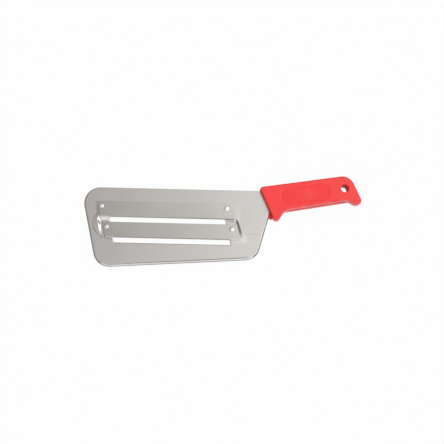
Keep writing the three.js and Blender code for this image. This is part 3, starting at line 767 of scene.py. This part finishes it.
def sunk_pocket(s, y, lip, given):
    """How far the pocket's floor lies below the lip: all of it inside, and none outside the walls."""
    seat = (LOWER_TOP - y.least(POCKET_TOP)) * given["Lower seat slope"] - given["Pocket depth"]
    up_wall = (y - POCKET_TOP + POCKET_CORNER).most(0)
    out = (past_ends(s) + POCKET_CORNER).most(0).across(up_wall)
    upwards = up_wall / out.most(CORNER_LEAST)
    wall_run = given["Pocket wall run"] + WALL_EASE * (POCKET_TOP - y).most(0)
    wall_run = wall_run + (UPPER_BEND - POCKET_TOP - wall_run) * upwards * upwards
    wall = (out - POCKET_CORNER).most(0) / wall_run
    return (lip - seat).most(0) * wall.ramp(WALL_FILLET)


def heel_panel(s, y, given):
    """A shallow panel from the strips to the heel edge, with a sharp foot, which fades towards the spine."""
    panel = given["Heel panel height"] * (s - STRIP_END).step(HEEL_POCKET, HEEL_POCKET + PANEL_EDGE)
    panel = panel * (y - PANEL_FOOT).step(-PANEL_WALL / 2, PANEL_WALL / 2)
    return panel * (1 - (y - PANEL_FOOT).step(PANEL_FLAT, PANEL_REACH))


print(f"panel from y {PANEL_FOOT:.1f} to {PANEL_FOOT + PANEL_REACH:.1f} mm")

# %% The press as a node tree
PRESS_INPUTS = {
    "Upper seat slope": math.tan(UPPER_TILT),
    "Lower seat slope": math.tan(LOWER_TILT),
    "Pocket depth": POCKET_DEPTH,
    "Pocket wall run": 1.8,
    "Bend softness": 0.6,
    "Heel panel height": 0.25,
}


def press_tree():
    tree, start, given = new_tree("press_the_sheet", PRESS_INPUTS)
    place = start.add("GeometryNodeInputPosition")
    x, y = place.part(0), place.part(1)
    s = x + y * math.tan(TIP_SLANT)
    lip = lip_height(y, given)
    height = raised_form(s, y, lip).most(heel_panel(s, y, given)) - sunk_pocket(s, y, lip, given)
    lift = start.add("ShaderNodeCombineXYZ", inputs={"Z": height})
    pressed = start.add("GeometryNodeSetPosition", inputs={"Geometry": given["Geometry"], "Offset": lift})
    close_tree(start, pressed, given["Material"])
    return tree


run_tree(blade, press_tree(), PRESS_INPUTS, BLADE_STEEL)
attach(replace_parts(blade, "blade_plate"), "root")

# %% [markdown]
# ## The cutting strips
# Each strip is a flat bar of harder steel with one edge ground sharp. Its ends lean like the plate's tip, and
# its top is chamfered at the tip end. A section drawn once and carried along the bar is all it needs. The bar
# is made flat and then turned with its tilted seat. A Bevel modifier breaks the sharp corners, because a
# corner with no radius at all catches no light.

# %% Strips on their seats
STRIP_BEVEL, UNDER_BEVEL, EDGE_HEIGHT, SEAT_GAP = 1.3, 2.0, 0.55, 0.04
STRIP_BREAK, BREAK_SEGMENTS, STRIP_SHARP = 0.08, 2, math.radians(10)
END_RUN, END_HEIGHT = 0.6, 0.5
LOWER_STAGGER, GROUND_FACING = 0.8, -0.2
STRIP_SECTION = (
    (0, 0), (0, STRIP_THICKNESS), (STRIP_BEVEL - STRIP_WIDTH, STRIP_THICKNESS),
    (-STRIP_WIDTH, EDGE_HEIGHT), (UNDER_BEVEL - STRIP_WIDTH, 0))
STRIP_STATIONS = (0, END_RUN, SLOT_INSET, STRIP_LENGTH - SLOT_INSET, STRIP_LENGTH)


def seat_of(top, sink, tilt, strip_start):
    seat = Matrix.Translation((0, top, FRONT - sink)) @ Matrix.Rotation(-tilt, 4, "X")
    return seat, top, tilt, strip_start


SEATS = {
    "upper": seat_of(UPPER_TOP, 0, UPPER_TILT, STRIP_START),
    "lower": seat_of(LOWER_TOP, POCKET_DEPTH, LOWER_TILT, STRIP_START + LOWER_STAGGER),
}


def bar_on_seat(side):
    seat, top, tilt, strip_start = SEATS[side]
    mesh = bmesh.new()
    lean = -math.tan(TIP_SLANT) * math.cos(tilt)
    rings = []
    for along in STRIP_STATIONS:
        x = strip_start + tip_edge(top) + along
        height = STRIP_THICKNESS if along else END_HEIGHT
        rings.append([mesh.verts.new((x + lean * y, y, min(z, height) + SEAT_GAP)) for y, z in STRIP_SECTION])
    add_bands(mesh, rings)
    mesh.faces.new(rings[0])
    mesh.faces.new(rings[-1])
    return close_mesh(f"{side}_strip", mesh, LAY @ seat, STRIP_STEEL)


def break_corners(strip):
    soften = strip.modifiers.new("break_corners", "BEVEL")
    soften.width, soften.segments, soften.angle_limit = STRIP_BREAK / METRE, BREAK_SEGMENTS, STRIP_SHARP
    strip.data = plain_mesh(strip, soften)
    strip.data.shade_flat()


print("strip section:", len(STRIP_SECTION), "corners")

# %% Ground edges of the strips, with painted shade
def mark_ground_and_shade(strip, side):
    """Marks the ground faces that get painted shade: over the slot, and to the end on the upper strip."""
    seat, top, _, strip_start = SEATS[side]
    to_seat = (LAY @ seat).inverted()
    turn_back = to_seat.to_3x3().normalized()
    first = strip_start + tip_edge(top) + SLOT_INSET
    last = strip_start + tip_edge(top) + STRIP_LENGTH - (SLOT_INSET if side == "lower" else 0)
    ground_and_shade = strip.data.attributes.new("ground_and_shade", "FLOAT", "FACE")
    for face, mark in zip(strip.data.polygons, ground_and_shade.data):
        normal, middle = turn_back @ face.normal, to_seat @ face.center
        over_shadowed_gap = first < middle.x + math.tan(TIP_SLANT) * middle.y < last
        mark.value = float(over_shadowed_gap and normal.y < GROUND_FACING < normal.z)


for side in SEATS:
    strip = bar_on_seat(side)
    break_corners(strip)
    mark_ground_and_shade(strip, side)
    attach(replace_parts(strip, f"{side}_cutting_strip"), "root")
    print(strip.name, "first corner at", [round(METRE * n, 1) for n in strip.data.vertices[0].co])

# %% [markdown]
# ## The rivets
# A rivet holds each end of a strip, with a domed head on the cutting side and a flatter set head behind the
# plate. Four alike pieces are a job for Geometry Nodes: the tree shapes one rivet from its named sizes and
# puts it on four points, each of which carries the lean of its seat.

# %% Rivets by Geometry Nodes
RIVET_ROW, TIP_RIVET, HEEL_RIVET = 5.5, 4.1, 6.0
RIVET_SIZES = {
    "Head radius": 2.9,
    "Head height": 0.95,
    "Set head radius": 2.6,
    "Set head height": 0.75,
    "Grip": SHEET + STRIP_THICKNESS,
}
UNIT_BALL = {"Segments": 32, "Rings": 16, "Radius": 1.0}
DOME_FULLNESS = 0.35


def domed_head(start, radius, height):
    """The upper half of a ball, flattened to a height and closed by a flat foot."""
    ball = start.add("GeometryNodeMeshUVSphere", inputs=UNIT_BALL)
    place = start.add("GeometryNodeInputPosition")
    x, y, z = (place.part(axis) for axis in range(3))
    dome = start.maths("POWER", z.most(0), DOME_FULLNESS) * height
    scaled = start.add("ShaderNodeCombineXYZ", inputs={"X": x * radius, "Y": y * radius, "Z": dome})
    return start.add("GeometryNodeSetPosition", inputs={"Geometry": ball, "Position": scaled})


def rivet_tree():
    tree, start, given = new_tree("set_the_rivets", RIVET_SIZES)
    head = domed_head(start, given["Head radius"], given["Head height"])
    set_head = domed_head(start, given["Set head radius"], given["Set head height"])
    behind = start.add("ShaderNodeCombineXYZ", inputs={"Z": -given["Grip"]})
    set_head = start.add("GeometryNodeTransform", inputs={
        "Geometry": set_head, "Translation": behind, "Rotation": (math.pi, 0, 0)})
    both = tree.nodes.new("GeometryNodeJoinGeometry")
    for part in (head, set_head):
        tree.links.new(part.socket, both.inputs[0])
    lean = start.add("GeometryNodeInputNamedAttribute", {"data_type": "FLOAT_VECTOR"}, {"Name": "lean"})
    rivets = start.add("GeometryNodeInstanceOnPoints", inputs={
        "Points": given["Geometry"], "Instance": Wire(tree, both.outputs[0]), "Rotation": lean})
    close_tree(start, rivets, given["Material"])
    return tree


def rivet_points():
    places, leans = [], []
    for seat, top, tilt, strip_start in SEATS.values():
        row_x = tip_edge(top - RIVET_ROW * math.cos(tilt))
        for s in (strip_start + TIP_RIVET, strip_start + STRIP_LENGTH - HEEL_RIVET):
            places.append(seat @ Vector((s + row_x, -RIVET_ROW, SEAT_GAP + STRIP_THICKNESS)))
            leans += [-tilt, 0, 0]
    data = bpy.data.meshes.new("rivets")
    data.from_pydata(places, [], [])
    data.attributes.new("lean", "FLOAT_VECTOR", "POINT").data.foreach_set("vector", leans)
    return new_object("rivets", data)


rivets = rivet_points()
run_tree(rivets, rivet_tree(), RIVET_SIZES, RIVET_STEEL)
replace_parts(rivets, "upper_tip_rivet", "upper_heel_rivet", "lower_tip_rivet", "lower_heel_rivet")
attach(rivets, "root")

# %% [markdown]
# ## The handle
# The handle is moulded in two halves that close over the plate's tang. Each half is its outline carried up
# from the seam: a small chamfer, a straight side, and a rounded rim to the flat face. The rear half's guard
# and hook are shorter, and the front half's grip is less deep, so the seam has a ledge. The face has a hang
# hole with a broken edge and a shallow recess, in front with a low disc in it. Rings draw all of these, and
# the fill closes what is left of each flat.

# %% Outline of the handle
FRONT_SLANT, BUTT_SLANT = math.tan(math.radians(15.6)), math.tan(math.radians(15.6))
HANDLE_LENGTH, HANDLE_THICKNESS = 103.3, 17.0
GRIP_FRONT, GRIP_BUTT, FRONT_GRIP_LIFT = 30.7, 28.9, 0.8
GUARD_DEPTH, GUARD_TIP, GUARD_FLANK = 40.5, 4.8, math.radians(51)
REAR_GUARD_NOSE, REAR_GUARD_LIFT, REAR_HOOK_LIFT = 3.4, 3.8, 3.0
HOOK_DEPTH, HOOK_TIP, HOOK_FLANK = 34.8, 9.7, math.radians(43.5)
FRONT_RADIUS, GUARD_TIP_RADIUS, GUARD_ROOT_RADIUS = 3, 3.8, 14
HOOK_ROOT_RADIUS, HOOK_HEEL_RADIUS, HOOK_TIP_RADIUS, BUTT_RADIUS = 12, 6, 5, 14.5


def handle_outline(is_rear):
    hook, guard, nose, lift = HOOK_DEPTH, GUARD_DEPTH, 0, FRONT_GRIP_LIFT
    if is_rear:
        hook, guard, nose, lift = hook - REAR_HOOK_LIFT, guard - REAR_GUARD_LIFT, REAR_GUARD_NOSE, 0
    grip_front, grip_butt = GRIP_FRONT - lift, GRIP_BUTT - lift
    hook_size = (hook - GRIP_BUTT) / (HOOK_DEPTH - GRIP_BUTT)
    guard_size = (guard - GRIP_FRONT) / (GUARD_DEPTH - GRIP_FRONT)
    hook_front = HANDLE_LENGTH + hook * BUTT_SLANT - HOOK_TIP
    hook_root = hook_front - (hook - grip_butt) / math.tan(HOOK_FLANK)
    guard_back = guard * FRONT_SLANT + GUARD_TIP
    guard_root = guard_back + (guard - grip_front) / math.tan(GUARD_FLANK)
    return rounded_outline([
        (0, 0, FRONT_RADIUS),
        (guard * FRONT_SLANT - nose, -guard, GUARD_TIP_RADIUS * guard_size),
        (guard_back, -guard, GUARD_TIP_RADIUS * guard_size),
        (guard_root, -grip_front, GUARD_ROOT_RADIUS * guard_size),
        (hook_root, -grip_butt, HOOK_ROOT_RADIUS * hook_size),
        (hook_front, -hook, HOOK_HEEL_RADIUS * hook_size),
        (HANDLE_LENGTH + hook * BUTT_SLANT, -hook, HOOK_TIP_RADIUS),
        (HANDLE_LENGTH, 0, BUTT_RADIUS),
    ])


print("handle outline:", len(handle_outline(False)[0]), "points")

# %% Hole, recess and disc of the handle
HOLE_U, HOLE_V, HOLE_RADIUS, HOLE_SIDES = 95.1, -14.4, 4.3, 64
RECESS_LOW, RECESS_HIGH, RECESS_V, RECESS_RADIUS = 22.2, 79.0, -15.0, 9.9
RECESS_MIDDLE, ROUND_SHORT = (RECESS_LOW + RECESS_HIGH) / 2, 0.01
DISC_RADIUS = 5.2


def round_outline(x, y, radius):
    turns = np.linspace(0, 2 * math.pi, HOLE_SIDES, endpoint=False)
    normals = np.stack([np.cos(turns), np.sin(turns)], axis=1)
    return np.array([x, y]) + radius * normals, normals


def obround_outline(low, high, y, radius):
    """Rounded just short of half circles, because a straight needs some length."""
    corners = ((low, y + radius), (low, y - radius), (high, y - radius), (high, y + radius))
    return rounded_outline([(*corner, radius - ROUND_SHORT) for corner in corners])


hole_outline = round_outline(HOLE_U, HOLE_V, HOLE_RADIUS)
recess_outline = obround_outline(RECESS_LOW, RECESS_HIGH, RECESS_V, RECESS_RADIUS)
disc_outline = round_outline(RECESS_MIDDLE, RECESS_V, DISC_RADIUS)
print("recess outline:", len(recess_outline[0]), "points")

# %% Profiles of the handle's rings
FACE = HANDLE_THICKNESS / 2
RIM_RUN, RIM_DROP, RIM_FLAT, SEAM_CHAMFER, SIDE_FOOT = 1.3, 1.8, 0.5, 0.25, 2
HOLE_BREAK, HOLE_FLAT = 0.6, 0.4
RECESS_DEPTH, RECESS_WALL, RECESS_FLAT = 0.16, 2.6, 0.3
DISC_BELOW, DISC_EASE, DISC_FLAT = 0.05, 0.4, 0.9
RIM_STEPS, BREAK_STEPS, WALL_STEPS = 9, 6, 7
# How much painted highlight each ring of the side gets on the underside.
SIDE_SHEEN = (0, 0.2, 1, 1, 1, 1, 1, 1, 0.9, 0.6, 0.3, 0, 0)
BORE_FROM, ETCHED_FROM = 5, 4

recess_floor, disc_top = FACE - RECESS_DEPTH, FACE - DISC_BELOW
rim_profile = [
    (RIM_RUN * (1 - math.cos(turn)), FACE - RIM_DROP * (1 - math.sin(turn)))
    for turn in np.linspace(0, math.pi / 2, RIM_STEPS)]
insets = [(SEAM_CHAMFER, 0), (0, SEAM_CHAMFER), (0, SIDE_FOOT), *rim_profile, (RIM_RUN + RIM_FLAT, FACE)]
side_profile = [(-inset - HAIR_INSIDE, z) for inset, z in insets]
broken_edge = [
    (HOLE_BREAK * (1 - math.sin(turn)), FACE - HOLE_BREAK * (1 - math.cos(turn)))
    for turn in np.linspace(0, math.pi / 2, BREAK_STEPS)]
hole_profile = [(HOLE_BREAK + HOLE_FLAT, FACE), *broken_edge, (0, FACE / 2), (0, 0)]
recess_wall = [
    (RECESS_WALL * (0.5 - part), FACE - RECESS_DEPTH * float(smooth(part, 0, 1)))
    for part in np.linspace(0, 1, WALL_STEPS)]
recess_profile = [(RECESS_WALL / 2 + RECESS_FLAT, FACE), *recess_wall, (-RECESS_WALL, recess_floor)]
disc_profile = [
    (DISC_FLAT, recess_floor), (DISC_EASE, recess_floor), (0, (recess_floor + disc_top) / 2),
    (-DISC_EASE, disc_top), (-DISC_FLAT, disc_top)]
print("rings of side, hole and recess:", *map(len, (side_profile, hole_profile, recess_profile)))

# %% The two halves
UNDERSIDE = (0.2, 0.9)


def mark_all(rings, layer):
    for ring in rings:
        for vertex in ring:
            vertex[layer] = 1


def handle_half(name, node, face, with_disc):
    """face is 1 for the half in front of the seam and -1 for the half behind it."""
    mesh = bmesh.new()
    recess, painted_sheen, shaded_bore = (mesh.verts.layers.float.new(mark) for mark in HANDLE_MARKS)
    outline = handle_outline(face < 0)
    sides = banded(mesh, outline, side_profile, face)
    # The underside's side rings get the painted highlight.
    for ring, amount in zip(sides, SIDE_SHEEN):
        for vertex, under in zip(ring, smooth(-outline[1][:, 1], *UNDERSIDE)):
            vertex[painted_sheen] = amount * under
    hole = banded(mesh, hole_outline, hole_profile, face)
    # The bore gets the painted shade.
    mark_all(hole[BORE_FROM:], shaded_bore)
    dish = banded(mesh, recess_outline, recess_profile, face)
    mark_all(dish[ETCHED_FROM:], recess)
    fill_between(mesh, sides[-1], (hole[0], dish[0]))
    fill_between(mesh, sides[0], (hole[-1],))
    if with_disc:
        disc = banded(mesh, disc_outline, disc_profile, face)
        fill_between(mesh, dish[-1], (disc[0],))
        fill_between(mesh, disc[-1])
    else:
        fill_between(mesh, dish[-1])
    half = close_mesh(name, mesh, LAY @ HANDLE_FRAME, RED_PLASTIC)
    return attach(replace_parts(half, node), "root")


handle_half("handle_front", "handle_front_half", 1, True)
handle_half("handle_rear", "handle_rear_half", -1, False)

# %% [markdown]
# ## Floor and camera
# The photograph has a plain white ground. The floor is white for the camera and in reflections, and an
# ordinary pale floor for light, so the tool still has a soft shadow. The camera stands almost straight above
# the tool, a little to the front, and is rolled by about a degree.

# %% The floor
FLOOR_PALE, FLOOR_PALER, FLOOR_CLOUDS = (0.86, 0.86, 0.86, 1), (0.9, 0.9, 0.9, 1), {"scale": 30}
WHITE, WHITE_SHARE = (1, 1, 1, 1), 0.95
FLOOR_SIZE, FLOOR_DROP = 6.0, 0.0003
SEEN_RAYS = ("Is Camera Ray", "Is Glossy Ray", "Is Transmission Ray")


def floor_finish():
    material, start = new_finish("floor_white")
    camera_ray, glossy_ray, clear_ray = (start.add("ShaderNodeLightPath", output=ray) for ray in SEEN_RAYS)
    seen = (camera_ray + glossy_ray + clear_ray).least(1)
    paper = noise_on(start, **FLOOR_CLOUDS).blend(FLOOR_PALE, FLOOR_PALER)
    pale = start.add("ShaderNodeBsdfDiffuse", inputs={"Color": paper})
    white = start.add("ShaderNodeEmission", inputs={"Color": WHITE, "Strength": 1.0})
    surface = start.add("ShaderNodeMixShader", inputs={"Fac": seen * WHITE_SHARE, 1: pale, 2: white})
    start.add("ShaderNodeOutputMaterial", inputs={"Surface": surface})
    return material


data = bpy.data.meshes.new("floor")
floor_z = cad_low.z - FLOOR_DROP
corners = [(x * FLOOR_SIZE, y * FLOOR_SIZE, floor_z) for x, y in ((-1, -1), (1, -1), (1, 1), (-1, 1))]
data.from_pydata(corners, [], [(0, 1, 2, 3)])
data.materials.append(floor_finish())
floor = new_object("floor", data)
print("floor at z", round(floor_z, 5))

# %% The camera
LENS, CAMERA_DISTANCE = 54.08, 0.75
CAMERA_TILT, CAMERA_ROLL = math.radians(8.9), math.radians(1.35)
TARGET = Vector((0.00013, -0.0005, 0.0091))

camera = new_object("camera", bpy.data.cameras.new("camera"))
camera.data.lens = LENS
turn = Matrix.Rotation(CAMERA_TILT, 4, "X") @ Matrix.Rotation(CAMERA_ROLL, 4, "Z")
camera.matrix_world = Matrix.Translation(TARGET) @ turn @ Matrix.Translation((0, 0, CAMERA_DISTANCE))
bpy.context.scene.camera = camera
print("camera at", [round(n, 4) for n in camera.matrix_world.translation])

# %% [markdown]
# ## Light
# Satin steel shows what surrounds it, so the world is a simple studio, drawn by the direction that a ray goes
# in: x to the right, y beyond the spine and z up. It gets brighter to the right, where a bright wall stands,
# and towards the front. It is dark near the floor, beyond the spine and in two patches at the front right,
# which draw the pressed edges. A small lamp in front makes their glints.

# %% Levels and ranges of the studio
SIDE_LEVEL, SIDE_SLOPE, SIDE_LEAST, SIDE_MOST = 1.06, 1.72, 0.32, 2.1
WALL, WALL_X, WALL_Y = 1.8, (0.25, 0.45), (-0.3, -0.1)
FRONT_FROM, FRONT_SLOPE, FRONT_MOST, FRONT_X = 0.2, 0.8, 0.35, (-0.5, -0.2)
FAR_FRONT, FAR_FRONT_Y = 0.35, (0.3, 0.5)
LOW, LOW_LEAST, HORIZON, LIFT, LIFTED = 0.3, 0.06, (0.22, 0.45), 0.28, (0.4, 0.6)
LOW_RIGHT, LOW_RIGHT_X, LOW_LEFT, LOW_LEFT_X = 0.22, (0.3, 0.7), 0.6, (0.35, 0.6)
LOW_FRONT, LOW_FRONT_Y = 0.2, (0.5, 0.7)
BEYOND, BEYOND_Y, FAR, FAR_Y = 0.1, (0.2, 0.34), 0.85, (0.42, 0.7)
NEAR_DARK, NEAR_X, NEAR_Y = 0.65, ((-0.1, -0.02), (0.12, 0.22)), (0.2, 0.4)
RIGHT_DARK, RIGHT_X, RIGHT_Y = 0.5, (0.15, 0.35), (0.1, 0.3)
LAMP, LAMP_X, LAMP_Y = 0.5, ((-0.36, -0.3), (-0.14, -0.08)), ((-0.66, -0.6), (-0.24, -0.18))


def studio_light(x, y, z):
    left, front = -x, -y
    side = (SIDE_LEVEL + SIDE_SLOPE * x).most(SIDE_LEAST).least(SIDE_MOST)
    side = side + WALL * x.step(*WALL_X) * y.step(*WALL_Y)
    ahead = ((FRONT_FROM - y).most(0) * FRONT_SLOPE).least(FRONT_MOST)
    ahead = (ahead + FAR_FRONT * front.step(*FAR_FRONT_Y)) * x.step(*FRONT_X)
    low = LOW - LOW_RIGHT * x.step(*LOW_RIGHT_X) + LOW_LEFT * left.step(*LOW_LEFT_X)
    low = (low - LOW_FRONT * front.step(*LOW_FRONT_Y)).most(LOW_LEAST)
    lift = LIFT * front.step(*LIFTED).most(x.step(*LIFTED))
    height = low + (1 - low) * (z - lift).step(*HORIZON)
    beyond = 1 + BEYOND * y.step(*BEYOND_Y) - FAR * y.step(*FAR_Y)
    near_patch = 1 - NEAR_DARK * front.step(*NEAR_Y) * x.between(*NEAR_X)
    right_patch = 1 - RIGHT_DARK * x.step(*RIGHT_X) * front.step(*RIGHT_Y)
    lamp = LAMP * x.between(*LAMP_X) * y.between(*LAMP_Y)
    return (side + ahead) * height * beyond * near_patch * right_patch + lamp


print("studio sides from", SIDE_LEAST, "to", SIDE_MOST)

# %% The studio around the tool
world = bpy.data.worlds.new("studio")
start = empty_tree(world)
toward = start.add("ShaderNodeTexCoord", output="Generated")
light = studio_light(*(toward.part(axis) for axis in range(3)))
grey = start.add("ShaderNodeCombineColor", inputs={"Red": light, "Green": light, "Blue": light})
shine = start.add("ShaderNodeBackground", inputs={"Color": grey, "Strength": 1.0})
start.add("ShaderNodeOutputWorld", inputs={"Surface": shine})
bpy.context.scene.world = world
bpy.context.scene.view_settings.view_transform = "Standard"
print("world:", world.name, "with", len(world.node_tree.nodes), "nodes")
